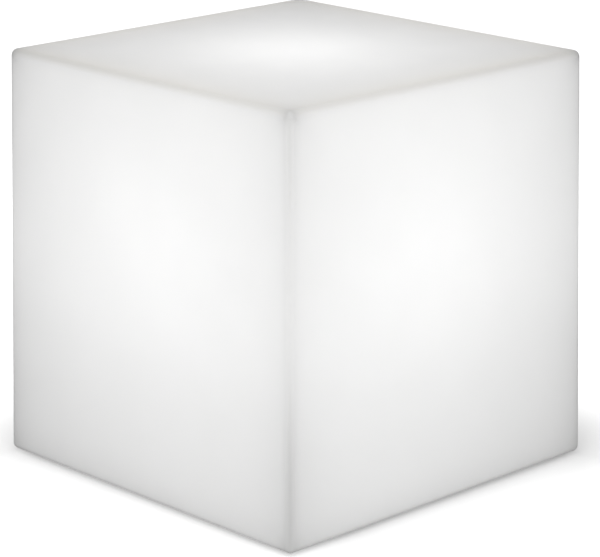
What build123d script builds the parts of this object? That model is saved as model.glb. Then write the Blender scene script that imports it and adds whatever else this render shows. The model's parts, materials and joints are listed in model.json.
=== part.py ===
from build123d import *
import os
from math import cos, hypot, radians, sin, tan

# Cordless LED cube lamp for terraces and gardens. All lengths are millimetres and all angles degrees.
# The origin is the middle of the footprint, on the surface that the feet stand on. +Z is up.
# The cube is one rotation-moulded translucent skin with a round recess under it. A sealed light unit
# (battery, electronics and an LED post under an opal dome) goes in from below and locks with a bayonet.

# Cube shell: four side faces that lean in by the mould's draft, measured at the base
cube_side = 405.0
cube_height = 409.0
mould_draft = 1.0
shell_wall = 4.0
edge_radius = 7.0
inner_edge_radius = 12.0
recess_depth = 28.0
recess_draft = 4.0
recess_rim_radius = 5.0
recess_clearance = 6.0
opening_clearance = 1.0

# Rubber feet
foot_diameter = 30.0
foot_projection = 3.0
foot_pocket_depth = 2.0
foot_inset = 45.0
foot_edge_radius = 1.5
foot_fit = 0.2

# Brass inserts and the screws of the locking ring
insert_count = 6
ring_screw_start_angle = 30.0
insert_diameter = 5.6
insert_length = 10.0
insert_boss_diameter = 14.0
insert_boss_cover = 3.0
ring_thread = 4.0
ring_screw_head = 8.0
ring_screw_head_height = 2.8
ring_screw_hole_clearance = 0.25
ring_screw_end_gap = 1.0
thread_clearance = 0.05
screw_head_rounding = 0.8
drive_slot_share = 0.62
drive_slot_width = 1.1
drive_slot_depth = 1.3

# Locking ring, its gasket and the bayonet
ring_gasket_thickness = 1.5
ring_gasket_margin = 2.0
ring_thickness = 5.0
ring_edge_radius = 1.5
ring_land = 16.0
neck_wall = 3.0
neck_rise = 3.0
lip_width = 4.0
lip_thickness = 4.0
lug_count = 3
first_lug_angle = 90.0
lug_angle = 22.0
lug_thickness = 3.0
lug_end_clearance = 0.6
running_gap = 0.3
unlock_angle = 40.0
notch_clearance_angle = 1.0
stop_angle = 4.0
stop_gap_angle = 1.0
mark_height = 0.6
mark_radius = 2.2
mark_line = 0.8
pointer_angle = 7.0

# Light unit: lower housing
module_floor_thickness = 4.5
module_wall = 3.0
module_lip_clearance = 1.0
flange_overlap = 12.0
flange_gap = 0.3
flange_edge_radius = 2.0
grip_length = 104.0
grip_width = 14.0
grip_drop = 11.0
grip_edge_radius = 3.0
o_ring_diameter = 2.5
o_ring_gap = 0.1
o_ring_groove_play = 0.4
o_ring_seat_gap = 0.05

# Control board
board_thickness = 1.6
board_standoff = 12.0
board_edge_clearance = 1.0
board_post_diameter = 8.0
board_post_inset = 5.0
board_post_count = 4
board_post_start_angle = 45.0
small_thread = 3.0
small_head = 5.6
small_head_height = 2.0
small_pilot_depth = 9.0
small_screw_grip = 7.0
small_screw_hole_clearance = 0.2
terminal_length = 8.0
terminal_width = 7.0
terminal_height = 7.0
terminal_inset = 7.5
control_inset = 12.0
component_room = 12.0
component_step = 8.0
chip_side = 10.0
chip_height = 1.6
coil_radius = 6.0
coil_height = 6.0
capacitor_radius = 4.0
capacitor_height = 9.0
capacitor_step = 12.0
transistor_size = (5.0, 6.0, 1.4)
resistor_size = (3.2, 1.6, 0.6)

# Power button, its switch and spring
button_diameter = 16.0
button_projection = 1.0
button_side_gap = 0.3
button_collar_width = 2.0
button_collar_thickness = 1.5
button_stem_diameter = 6.0
button_travel = 1.0
button_edge_radius = 0.8
button_sleeve_wall = 2.0
button_sleeve_height = 6.0
symbol_radius = 3.6
symbol_line = 0.9
symbol_depth = 0.4
symbol_opening = 70.0
switch_side = 12.0
switch_height = 5.0
plunger_diameter = 3.4
plunger_insertion = 0.8
plunger_side_gap = 0.15
spring_wire = 0.7
spring_stem_gap = 0.5
spring_turns = 4
spring_seat_gap = 0.05

# Status light pipe
pipe_diameter = 4.0
pipe_offset = 18.0
pipe_collar_diameter = 7.0
pipe_collar_thickness = 1.5
pipe_fit = 0.05
status_led_side = 3.0
status_led_height = 1.2

# Charging port and its cover
port_cover_width = 25.0
port_cover_length = 17.0
port_cover_thickness = 2.4
port_cover_gap = 0.3
port_pad_thickness = 0.7
port_pad_margin = 3.0
port_pin_diameter = 1.6
port_pin_clearance = 0.05
port_pin_bearing = 4.0
port_knuckle_radius = 1.5
port_housing_wall = 3.0
port_housing_height = 5.0
port_scoop_radius = 6.0
port_scoop_depth = 2.0
jack_nozzle_diameter = 8.0
jack_nozzle_clearance = 0.2
jack_bore_diameter = 5.6
jack_pin_diameter = 2.0
jack_pin_tip_radius = 0.4
jack_bore_depth = 9.0
jack_pin_setback = 0.8
jack_body_width = 10.0
jack_body_length = 11.0
jack_body_gap = 0.2

# Pressure vent
vent_radius_from_centre = 42.0
vent_angle = 150.0
vent_head_diameter = 15.0
vent_head_height = 3.0
vent_thread = 8.0
vent_hole_clearance = 0.1
vent_thread_end = 1.5
vent_nut_sides = 6
vent_nut_width = 13.0
vent_nut_thickness = 4.0
vent_slot_count = 6
vent_slot_width = 1.2
vent_slot_depth = 1.0

# Battery pack: two pairs of round cells with a wire channel between the pairs
cell_diameter = 18.4
cell_length = 65.0
cell_nub_diameter = 6.0
cell_nub_height = 1.2
cell_end_radius = 0.8
cell_gap = 0.6
cell_fit = 0.2
wire_channel_width = 9.6
tab_thickness = 0.3
tab_width = 8.0
tab_overlap = 4.0
tray_wall = 1.6
tray_end_gap = 0.4
tray_corner_radius = 3.0
tray_clearance = 1.5
tray_lead_notch = 4.0
tray_lead_slot = 14.0
battery_pad_thickness = 3.0
battery_pad_margin = 7.0
tray_post_offset = 21.0
tray_post_gap = 0.3

# Deck: the lid of the lower housing
deck_thickness = 3.5
deck_seal_thickness = 1.0
deck_boss_diameter = 8.0
deck_boss_embed = 2.0
deck_boss_count = 6
deck_boss_height = 14.0
deck_screw_cover = 0.5

# Leads and the grommet in the deck
lead_diameter = 1.8
lead_bend_share = 0.45
led_lead_spacing = 4.0
lead_hole_clearance = 0.1
grommet_diameter = 12.0
grommet_flange_width = 2.0
grommet_flange_thickness = 1.5

# LED post
post_sides = 6
post_across_flats = 34.0
post_height = 180.0
post_bore = 12.0
post_foot_diameter = 62.0
post_foot_thickness = 4.0
post_screw_count = 3
post_screw_start_angle = 90.0
post_screw_margin = 5.0
grommet_room = 0.5
led_strip_width = 15.0
led_strip_thickness = 1.6
led_strip_margin = 3.0
led_chip_side = 5.0
led_chip_height = 1.5
led_chips_per_strip = 9
top_led_count = 6
top_board_margin = 1.0
top_led_margin = 5.5

# Opal diffuser over the LED post
diffuser_inner_radius = 35.5
diffuser_wall = 2.5
diffuser_head_room = 6.0
diffuser_flange_width = 11.0
diffuser_flange_thickness = 3.0
diffuser_seal_thickness = 1.0
diffuser_screw_count = 4
diffuser_screw_start_angle = 45.0

# Sizes worked out from the battery pack outwards
STANDING = (Align.CENTER, Align.CENTER, Align.MIN)

cell_radius = cell_diameter / 2
cell_pitch = cell_diameter + cell_gap
cell_rows = (
    -wire_channel_width / 2 - cell_radius - cell_pitch,
    -wire_channel_width / 2 - cell_radius,
    wire_channel_width / 2 + cell_radius,
    wire_channel_width / 2 + cell_radius + cell_pitch,
)
pocket_half_length = cell_length / 2 + tab_thickness + tray_end_gap
pocket_half_width = cell_rows[3] + cell_radius + cell_fit
tray_half_length = pocket_half_length + tray_wall
tray_half_width = pocket_half_width + tray_wall
tray_reach = tray_corner_radius + hypot(
    tray_half_length - tray_corner_radius, tray_half_width - tray_corner_radius
)
boss_reach = tray_reach + tray_clearance
deck_screw_circle = boss_reach + deck_boss_diameter / 2
cup_inner_radius = boss_reach + deck_boss_diameter - deck_boss_embed
cup_outer_radius = cup_inner_radius + module_wall
board_radius = boss_reach - board_edge_clearance
board_post_circle = board_radius - board_post_inset
lip_bore_radius = cup_outer_radius + module_lip_clearance
channel_radius = lip_bore_radius + lip_width
lug_radius = channel_radius - lug_end_clearance
neck_radius = channel_radius + neck_wall
opening_radius = neck_radius + opening_clearance
flange_radius = lip_bore_radius + flange_overlap
ring_radius = flange_radius + ring_land
ring_screw_circle = flange_radius + ring_land / 2
recess_radius = ring_radius + recess_clearance
recess_mouth_radius = recess_radius + recess_depth * tan(radians(recess_draft))
o_ring_circle = lip_bore_radius + flange_overlap / 2

# Heights, worked out upwards from the floor
shell_base = foot_projection
recess_ceiling = shell_base + recess_depth
recess_roof = recess_ceiling + shell_wall
ring_top = recess_ceiling - ring_gasket_thickness
ring_base = ring_top - ring_thickness
lip_top = ring_base + lip_thickness
lug_base = lip_top + running_gap
lug_top = lug_base + lug_thickness
neck_top = recess_roof + neck_rise
floor_top = ring_base - flange_gap
underside = floor_top - module_floor_thickness
board_base = floor_top + board_standoff
board_top = board_base + board_thickness
terminal_top = board_top + terminal_height
tray_base = board_top + component_room
tray_floor = tray_base + tray_wall
cell_axis = tray_floor + cell_fit + cell_radius
deck_base = cell_axis + cell_radius + battery_pad_thickness
deck_top = deck_base + deck_thickness
cup_rim = deck_base - deck_seal_thickness
post_top = deck_top + post_foot_thickness + post_height
top_board_top = post_top + led_strip_thickness
diffuser_base = deck_top + diffuser_seal_thickness
diffuser_radius = diffuser_inner_radius + diffuser_wall
diffuser_flange_radius = diffuser_radius + diffuser_flange_width
diffuser_screw_circle = diffuser_radius + diffuser_flange_width / 2
dome_centre = top_board_top + led_chip_height + diffuser_head_room - diffuser_inner_radius / 2

# Places on the light unit's floor
button_place = (0.0, board_radius - control_inset)
port_place = (0.0, control_inset - board_radius)
pipe_place = (pipe_offset, button_place[1])
vent_place = (
    vent_radius_from_centre * cos(radians(vent_angle)),
    vent_radius_from_centre * sin(radians(vent_angle)),
)

# The cover hangs on a pin along X at the outer end of its pocket
port_pocket_depth = port_cover_thickness + port_pad_thickness + port_cover_gap
port_pocket_ceiling = underside + port_pocket_depth
port_pin_y = port_place[1] - port_cover_length / 2 + port_knuckle_radius
port_pin_z = underside + port_knuckle_radius
port_cover_end = port_pin_y - port_knuckle_radius + port_cover_length
port_housing_top = floor_top + port_housing_height


def disc(radius, base, top, x=0.0, y=0.0):
    """Upright cylinder from one height to another."""
    return Pos(x, y, base) * Cylinder(radius, top - base, align=STANDING)


def tube(outer_radius, inner_radius, base, top, x=0.0, y=0.0):
    """Upright hollow cylinder."""
    return disc(outer_radius, base, top, x, y) - disc(inner_radius, base, top, x, y)


def block(x_size, y_size, base, top, x=0.0, y=0.0):
    """Upright box from one height to another."""
    return Pos(x, y, base) * Box(x_size, y_size, top - base, align=STANDING)


def tapered_block(side, base, top):
    """Square block whose sides lean in by the mould's draft."""
    return Pos(0, 0, base) * extrude(Rectangle(side, side), top - base, taper=mould_draft)


def ring_sector(inner_radius, outer_radius, base, top, middle_angle, width_angle):
    """Piece of a flat ring, centred on an angle about Z."""
    size = Rectangle(outer_radius - inner_radius, top - base)
    section = Plane.XZ * Pos((inner_radius + outer_radius) / 2, (base + top) / 2) * size
    piece = revolve(section, Axis.Z, width_angle)
    return Rot(0, 0, middle_angle - width_angle / 2) * piece


def round_edges_at(shape, height, radius):
    """Fillet the edges that lie flat at one height."""
    edges = shape.edges().filter_by_position(Axis.Z, height - 0.001, height + 0.001)
    return fillet(edges, radius)


def screw(thread, length, head_diameter, head_height):
    """Pan-head cross-recess screw: the head's seat is at the origin and the shank points up."""
    head = disc(head_diameter / 2, -head_height, 0)
    head = round_edges_at(head, -head_height, screw_head_rounding)
    slot_length = head_diameter * drive_slot_share
    slot_top = drive_slot_depth - head_height
    head -= block(slot_length, drive_slot_width, -head_height, slot_top)
    head -= block(drive_slot_width, slot_length, -head_height, slot_top)
    return head + disc(thread / 2 - thread_clearance, 0, length)


def screws_up(places, seat, thread, length, head_diameter, head_height):
    """Group of screws driven upwards, with their head seats at one height."""
    one = screw(thread, length, head_diameter, head_height)
    return Compound([Pos(x, y, seat) * one for x, y in places])


def screws_down(places, seat, thread, length, head_diameter, head_height):
    """Group of screws driven downwards, with their head seats at one height."""
    one = Rot(180, 0, 0) * screw(thread, length, head_diameter, head_height)
    return Compound([Pos(x, y, seat) * one for x, y in places])


def circle_places(radius, count, start_angle=0.0):
    """Points evenly spaced round a circle."""
    step = 360.0 / count
    angles = [radians(start_angle + step * index) for index in range(count)]
    return [(radius * cos(angle), radius * sin(angle)) for angle in angles]


# Screw patterns shared by the pieces that they join
ring_screw_places = circle_places(ring_screw_circle, insert_count, ring_screw_start_angle)
board_screw_places = circle_places(board_post_circle, board_post_count, board_post_start_angle)
deck_screw_places = circle_places(deck_screw_circle, deck_boss_count)
post_screw_circle = post_foot_diameter / 2 - post_screw_margin
post_screw_places = circle_places(post_screw_circle, post_screw_count, post_screw_start_angle)
diffuser_screw_places = circle_places(
    diffuser_screw_circle, diffuser_screw_count, diffuser_screw_start_angle
)
tray_post_places = [(-tray_post_offset, 0.0), (tray_post_offset, 0.0)]
foot_offset = cube_side / 2 - foot_inset
foot_places = [(x, y) for x in (-foot_offset, foot_offset) for y in (-foot_offset, foot_offset)]
lug_angles = [first_lug_angle + 360.0 / lug_count * index for index in range(lug_count)]
battery_lead_places = (cell_rows[2], cell_rows[1])
led_lead_places = (led_lead_spacing / 2, -led_lead_spacing / 2)


def make_cube_shell():
    """Hollow cube with a drafted round recess in its base, an opening and six insert bosses."""
    top = shell_base + cube_height
    shell = fillet(tapered_block(cube_side, shell_base, top).edges(), edge_radius)
    recess = Cone(recess_mouth_radius, recess_radius, recess_depth, align=STANDING)
    shell -= Pos(0, 0, shell_base) * recess
    mouth = shell.edges().filter_by(GeomType.CIRCLE).sort_by(Axis.Z)[0]
    shell = fillet(mouth, recess_rim_radius)

    draft = radians(mould_draft)
    inner_side = cube_side - 2 * shell_wall / cos(draft) - 2 * shell_wall * tan(draft)
    cavity = tapered_block(inner_side, shell_base + shell_wall, top - shell_wall)
    cavity = fillet(cavity.edges(), inner_edge_radius)
    wall_width = shell_wall / cos(radians(recess_draft))
    island = Cone(
        recess_mouth_radius + wall_width, recess_radius + wall_width, recess_depth, align=STANDING
    )
    cavity -= Pos(0, 0, shell_base + shell_wall) * island
    shell -= cavity
    shell -= disc(opening_radius, recess_ceiling, recess_roof)

    boss_top = recess_ceiling + insert_length + ring_screw_end_gap + insert_boss_cover
    for x, y in ring_screw_places:
        shell += disc(insert_boss_diameter / 2, recess_roof - shell_wall / 2, boss_top, x, y)
    for x, y in ring_screw_places:
        hole_top = recess_ceiling + insert_length + ring_screw_end_gap
        shell -= disc(insert_diameter / 2 + thread_clearance, recess_ceiling, hole_top, x, y)
    for x, y in foot_places:
        pocket_radius = foot_diameter / 2 + foot_fit
        shell -= disc(pocket_radius, shell_base, shell_base + foot_pocket_depth, x, y)
    return shell


def make_rubber_feet():
    """Four pads bonded into pockets in the base."""
    foot = disc(foot_diameter / 2, 0, shell_base + foot_pocket_depth)
    foot = round_edges_at(foot, 0, foot_edge_radius)
    return Compound([Pos(x, y) * foot for x, y in foot_places])


def make_threaded_inserts():
    """Six brass inserts pressed into the shell's bosses."""
    insert = tube(insert_diameter / 2, ring_thread / 2, recess_ceiling, recess_ceiling + insert_length)
    return Compound([Pos(x, y) * insert for x, y in ring_screw_places])


def make_ring_gasket():
    """Flat gasket between the recess ceiling and the locking ring."""
    gasket = tube(
        ring_radius - ring_gasket_margin, opening_radius + ring_gasket_margin, ring_top, recess_ceiling
    )
    for x, y in ring_screw_places:
        hole_radius = ring_thread / 2 + ring_screw_hole_clearance
        gasket -= disc(hole_radius, ring_top, recess_ceiling, x, y)
    return gasket


def make_locking_ring():
    """Ring with a neck through the opening, a notched bayonet lip, stops and two position marks."""
    ring = disc(ring_radius, ring_base, ring_top)
    ring = round_edges_at(ring, ring_base, ring_edge_radius)
    ring += disc(neck_radius, ring_top, neck_top)
    ring -= disc(channel_radius, lip_top, neck_top)
    ring -= disc(lip_bore_radius, ring_base, lip_top)
    notch_angle = lug_angle + 2 * notch_clearance_angle
    stop_shift = lug_angle / 2 + stop_gap_angle + stop_angle / 2
    for angle in lug_angles:
        open_angle = angle - unlock_angle
        ring -= ring_sector(
            lip_bore_radius - lip_width, channel_radius, ring_base, lip_top, open_angle, notch_angle
        )
        for stop_middle in (angle + stop_shift, open_angle - stop_shift):
            ring += ring_sector(
                lip_bore_radius, channel_radius + neck_wall / 2, lip_top, lug_top, stop_middle, stop_angle
            )
    for x, y in ring_screw_places:
        hole_radius = ring_thread / 2 + ring_screw_hole_clearance
        ring -= disc(hole_radius, ring_base, ring_top, x, y)
    locked_mark = disc(mark_radius, ring_base - mark_height, ring_base, ring_screw_circle)
    open_mark = tube(mark_radius, mark_radius - mark_line, ring_base - mark_height, ring_base)
    ring += locked_mark
    ring += Rot(0, 0, -unlock_angle) * Pos(ring_screw_circle, 0) * open_mark
    return ring


def make_ring_screws():
    """Six screws through the ring and gasket into the inserts."""
    length = ring_thickness + ring_gasket_thickness + insert_length
    return screws_up(
        ring_screw_places, ring_base, ring_thread, length, ring_screw_head, ring_screw_head_height
    )


def port_pocket():
    """Room for the cover, with slots for its pin and a scoop for a fingernail."""
    width = port_cover_width + 2 * port_cover_gap
    near_end = port_pin_y - port_knuckle_radius - port_cover_gap
    far_end = port_cover_end + port_cover_gap
    middle = (near_end + far_end) / 2
    pocket = block(width, far_end - near_end, underside, port_pocket_ceiling, 0, middle)
    pin_slot_length = width + 2 * port_pin_bearing
    pin_slot_width = port_pin_diameter + 2 * port_pin_clearance
    pocket += block(pin_slot_length, pin_slot_width, underside, port_pin_z, 0, port_pin_y)
    rod = Rot(0, 90, 0) * Cylinder(pin_slot_width / 2, pin_slot_length)
    pocket += Pos(0, port_pin_y, port_pin_z) * rod
    pocket += disc(port_scoop_radius, underside, underside + port_scoop_depth, 0, far_end)
    return pocket


def grip_bar():
    """Bar under the floor that a hand turns the light unit by."""
    bar = extrude(SlotOverall(grip_length, grip_width), grip_drop)
    bar = Pos(0, 0, underside - grip_drop) * bar
    return round_edges_at(bar, underside - grip_drop, grip_edge_radius)


def make_module_base():
    """Lower housing: flanged floor, cup wall, bayonet lugs, grip bar, posts and openings."""
    floor = disc(flange_radius, underside, floor_top)
    floor = round_edges_at(floor, underside, flange_edge_radius)
    base = floor + tube(cup_outer_radius, cup_inner_radius, floor_top, cup_rim)
    for angle in lug_angles:
        middle_radius = (cup_inner_radius + cup_outer_radius) / 2
        base += ring_sector(middle_radius, lug_radius, lug_base, lug_top, angle, lug_angle)
    base += grip_bar()
    pointer = ring_sector(
        flange_radius - flange_overlap / 2,
        flange_radius - flange_edge_radius,
        underside - mark_height,
        underside,
        0,
        pointer_angle,
    )
    base += pointer

    for x, y in board_screw_places:
        base += disc(board_post_diameter / 2, floor_top, board_base, x, y)
    for x, y in deck_screw_places:
        base += disc(deck_boss_diameter / 2, cup_rim - deck_boss_height, cup_rim, x, y)

    sleeve_radius = button_diameter / 2 + button_collar_width + button_side_gap
    button_x, button_y = button_place
    base += tube(
        sleeve_radius + button_sleeve_wall,
        sleeve_radius,
        floor_top,
        floor_top + button_sleeve_height,
        button_x,
        button_y,
    )
    housing_width = port_cover_width + 2 * (port_cover_gap + port_pin_bearing)
    housing_length = port_cover_length + 2 * port_housing_wall
    base += block(housing_width, housing_length, floor_top, port_housing_top, *port_place)

    groove_half = o_ring_diameter / 2 + o_ring_groove_play / 2
    groove_base = ring_base - o_ring_gap - o_ring_diameter - o_ring_seat_gap
    base -= tube(o_ring_circle + groove_half, o_ring_circle - groove_half, groove_base, floor_top)
    base -= disc(button_diameter / 2 + button_side_gap, underside, floor_top, button_x, button_y)
    base -= disc(pipe_diameter / 2 + pipe_fit, underside, floor_top, *pipe_place)
    base -= disc(vent_thread / 2 + vent_hole_clearance, underside, floor_top, *vent_place)
    base -= port_pocket()
    nozzle_radius = jack_nozzle_diameter / 2 + jack_nozzle_clearance
    base -= disc(nozzle_radius, underside, port_housing_top, *port_place)
    for x, y in board_screw_places:
        base -= disc(small_thread / 2, board_base - small_pilot_depth, board_base, x, y)
    for x, y in deck_screw_places:
        base -= disc(small_thread / 2, cup_rim - small_pilot_depth, cup_rim, x, y)
    return base


def make_module_o_ring():
    """Round seal between the unit's flange and the locking ring."""
    middle = ring_base - o_ring_gap - o_ring_diameter / 2
    return Pos(0, 0, middle) * Torus(o_ring_circle, o_ring_diameter / 2)


def make_control_board():
    """Round circuit board on four posts."""
    board = disc(board_radius, board_base, board_top)
    for x, y in board_screw_places:
        hole_radius = small_thread / 2 + small_screw_hole_clearance
        board -= disc(hole_radius, board_base, board_top, x, y)
    return board


def make_board_screws():
    """Four screws that hold the control board."""
    length = board_thickness + small_screw_grip
    return screws_down(board_screw_places, board_top, small_thread, length, small_head, small_head_height)


def make_board_components():
    """Driver chip, charger chip, inductors, capacitors and small parts on the board."""
    step = component_step
    pieces = []
    for y in (-2 * step, 2 * step):
        pieces.append(block(chip_side, chip_side, board_top, board_top + chip_height, -step, y))
        pieces.append(disc(coil_radius, board_top, board_top + coil_height, step, y))
    capacitor = disc(capacitor_radius, board_top, board_top + capacitor_height)
    capacitor = round_edges_at(capacitor, board_top + capacitor_height, screw_head_rounding)
    for y in (-capacitor_step, 0, capacitor_step):
        pieces.append(Pos(-4 * step, y) * capacitor)
    for x in (-2 * step, -step, step, 2 * step):
        length, width, height = transistor_size
        pieces.append(block(length, width, board_top, board_top + height, x, 0))
        length, width, height = resistor_size
        for y in (-step, step):
            pieces.append(block(length, width, board_top, board_top + height, x, y))
    status_led_base = board_base - status_led_height
    pieces.append(block(status_led_side, status_led_side, status_led_base, board_base, *pipe_place))
    return Compound(pieces)


def terminal_places():
    """Battery terminals stand under the battery leads, near the board's edge."""
    return [(board_radius - terminal_inset, y) for y in battery_lead_places]


def make_battery_terminals():
    """Two terminal blocks that take the battery leads."""
    one = block(terminal_length, terminal_width, board_top, terminal_top)
    return Compound([Pos(x, y) * one for x, y in terminal_places()])


def make_led_terminals():
    """Two-way terminal block in the middle of the board for the LED leads."""
    return block(terminal_length, led_lead_spacing + terminal_width, board_top, terminal_top)


def make_tact_switch():
    """Push switch under the board, with a blind bore for its plunger."""
    base = board_base - switch_height
    body = block(switch_side, switch_side, base, board_base, *button_place)
    bore_top = base + plunger_insertion + button_travel + button_side_gap
    bore_radius = plunger_diameter / 2 + plunger_side_gap
    return body - disc(bore_radius, base, bore_top, *button_place)


def button_levels():
    """Heights of the button's face, collar and stem."""
    face = underside - button_projection
    collar_base = floor_top + button_side_gap
    collar_top = collar_base + button_collar_thickness
    stem_top = board_base - switch_height - button_travel - button_side_gap
    return face, collar_base, collar_top, stem_top


def make_power_button():
    """Button with a retaining collar, a stem and an engraved on-off symbol."""
    face, collar_base, collar_top, stem_top = button_levels()
    button = disc(button_diameter / 2, face, collar_base)
    button = round_edges_at(button, face, button_edge_radius)
    button += disc(button_diameter / 2 + button_collar_width, collar_base, collar_top)
    button += disc(button_stem_diameter / 2, collar_top, stem_top)
    half_line = symbol_line / 2
    button -= ring_sector(
        symbol_radius - half_line,
        symbol_radius + half_line,
        face,
        face + symbol_depth,
        -90.0,
        360.0 - symbol_opening,
    )
    button -= block(symbol_line, symbol_radius, face, face + symbol_depth, 0, symbol_radius)
    return Pos(*button_place) * button


def make_switch_plunger():
    """Switch plunger that rests on the button's stem."""
    stem_top = button_levels()[3]
    top = board_base - switch_height + plunger_insertion
    return disc(plunger_diameter / 2, stem_top, top, *button_place)


def make_button_spring():
    """Coil spring round the stem, between the button's collar and the switch."""
    collar_top = button_levels()[2]
    radius = button_stem_diameter / 2 + spring_stem_gap + spring_wire / 2
    start = collar_top + spring_seat_gap + spring_wire / 2
    end = board_base - switch_height - spring_seat_gap - spring_wire / 2
    path = Helix(pitch=(end - start) / spring_turns, height=end - start, radius=radius)
    section = Plane(origin=path @ 0, z_dir=path % 0) * Circle(spring_wire / 2)
    coil = sweep(section, path, is_frenet=True)
    return Pos(button_place[0], button_place[1], start) * coil


def make_status_light_pipe():
    """Clear rod that carries the status light down through the floor."""
    x, y = pipe_place
    pipe = disc(pipe_diameter / 2, underside, board_base - status_led_height - running_gap, x, y)
    return pipe + disc(pipe_collar_diameter / 2, floor_top, floor_top + pipe_collar_thickness, x, y)


def make_charge_jack():
    """Barrel socket: body under the board and a nozzle through the floor."""
    x, y = port_place
    body = block(jack_body_width, jack_body_length, port_housing_top + jack_body_gap, board_base, x, y)
    body += disc(jack_nozzle_diameter / 2, port_pocket_ceiling, board_base, x, y)
    bore_top = port_pocket_ceiling + jack_bore_depth
    return body - disc(jack_bore_diameter / 2, port_pocket_ceiling, bore_top, x, y)


def make_jack_contact_pin():
    """Middle pin of the socket."""
    x, y = port_place
    bore_top = port_pocket_ceiling + jack_bore_depth
    pin = disc(jack_pin_diameter / 2, port_pocket_ceiling + jack_pin_setback, bore_top, x, y)
    return round_edges_at(pin, port_pocket_ceiling + jack_pin_setback, jack_pin_tip_radius)


def make_port_cover():
    """Flap with a knuckle round its pin."""
    flap_length = port_cover_end - port_pin_y
    flap_top = underside + port_cover_thickness
    flap = block(port_cover_width, flap_length, underside, flap_top, 0, port_pin_y + flap_length / 2)
    knuckle = Rot(0, 90, 0) * Cylinder(port_knuckle_radius, port_cover_width)
    flap += Pos(0, port_pin_y, port_pin_z) * knuckle
    bore = Rot(0, 90, 0) * Cylinder(port_pin_diameter / 2 + port_pin_clearance, port_cover_width)
    return flap - Pos(0, port_pin_y, port_pin_z) * bore


def make_port_pad():
    """Soft pad on the cover that closes the socket."""
    base = underside + port_cover_thickness
    near_end = port_pin_y + port_knuckle_radius + port_pad_margin / 2
    far_end = port_cover_end - port_pad_margin / 2
    width = port_cover_width - 2 * port_pad_margin
    return block(
        width, far_end - near_end, base, base + port_pad_thickness, 0, (near_end + far_end) / 2
    )


def make_port_hinge_pin():
    """Steel pin that the cover swings on."""
    length = port_cover_width + 2 * (port_cover_gap + port_pin_bearing)
    return Pos(0, port_pin_y, port_pin_z) * Rot(0, 90, 0) * Cylinder(port_pin_diameter / 2, length)


def make_pressure_vent():
    """Breather plug that lets the sealed housing equalise, with slots under its head."""
    head_base = underside - vent_head_height
    vent = disc(vent_head_diameter / 2, head_base, underside)
    vent = round_edges_at(vent, head_base, screw_head_rounding)
    slot_middle = (vent_head_diameter + vent_thread) / 2
    slot_base = underside - vent_slot_depth
    slot = block(vent_head_diameter, vent_slot_width, slot_base, underside, slot_middle)
    for index in range(vent_slot_count):
        vent -= Rot(0, 0, 360.0 / vent_slot_count * index) * slot
    thread_top = floor_top + vent_nut_thickness + vent_thread_end
    vent += disc(vent_thread / 2, underside, thread_top)
    return Pos(*vent_place) * vent


def make_vent_nut():
    """Nut that holds the breather plug from inside."""
    nut = extrude(RegularPolygon(vent_nut_width / 2, vent_nut_sides, major_radius=False), vent_nut_thickness)
    nut = Pos(vent_place[0], vent_place[1], floor_top) * nut
    bore_radius = vent_thread / 2 + thread_clearance
    return nut - disc(bore_radius, floor_top, floor_top + vent_nut_thickness, *vent_place)


def make_battery_tray():
    """Open tray for four cells, with a lead slot and two screw holes in its floor."""
    top = cell_axis
    outline = RectangleRounded(2 * tray_half_length, 2 * tray_half_width, tray_corner_radius)
    tray = Pos(0, 0, tray_base) * extrude(outline, top - tray_base)
    tray -= block(2 * pocket_half_length, 2 * pocket_half_width, tray_floor, top)
    slot = SlotOverall(tray_lead_slot, lead_diameter + led_lead_spacing + tray_wall, rotation=90)
    tray -= Pos(0, 0, tray_base) * extrude(slot, tray_wall)
    for y in battery_lead_places:
        tray -= block(
            2 * tray_wall, tray_lead_notch, cell_axis - tray_lead_notch / 2, top, tray_half_length, y
        )
    for x, y in tray_post_places:
        hole_radius = small_thread / 2 + small_screw_hole_clearance
        tray -= disc(hole_radius, tray_base, tray_floor, x, y)
    return tray


def make_tray_screws():
    """Two screws that hang the tray from the deck's posts."""
    length = tray_wall + small_screw_grip
    return screws_up(tray_post_places, tray_base, small_thread, length, small_head, small_head_height)


def make_battery_cells():
    """Four round cells along X, with their raised ends one way in one pair and the other way in the next."""
    can = Cylinder(cell_radius, cell_length - cell_nub_height, align=STANDING)
    can = fillet(can.edges(), cell_end_radius)
    nub_base = cell_length - cell_nub_height
    cell = can + disc(cell_nub_diameter / 2, nub_base, cell_length)
    cell = Rot(0, 90, 0) * Pos(0, 0, -cell_length / 2) * cell
    turned = Rot(0, 0, 180) * cell
    cells = []
    for y in cell_rows:
        cells.append(Pos(0, y, cell_axis) * (cell if y > 0 else turned))
    return Compound(cells)


def make_cell_tabs():
    """Nickel strips on the cells' ends: two outputs at +X, one link across all four at -X."""
    middle = cell_length / 2 + tab_thickness / 2
    pair_length = cell_pitch + 2 * tab_overlap
    link_length = 2 * cell_rows[3] + 2 * tab_overlap
    pair_middle = (cell_rows[2] + cell_rows[3]) / 2
    base = cell_axis - tab_width / 2
    top = cell_axis + tab_width / 2
    return Compound(
        [
            block(tab_thickness, pair_length, base, top, middle, pair_middle),
            block(tab_thickness, pair_length, base, top, middle, -pair_middle),
            block(tab_thickness, link_length, base, top, -middle),
        ]
    )


def make_battery_pads():
    """Foam strips that press the cells down into the tray."""
    base = cell_axis + cell_radius
    width = cell_pitch + cell_radius
    length = cell_length - 2 * battery_pad_margin
    middle = (cell_rows[2] + cell_rows[3]) / 2
    return Compound([block(length, width, base, deck_base, 0, y) for y in (-middle, middle)])


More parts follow.
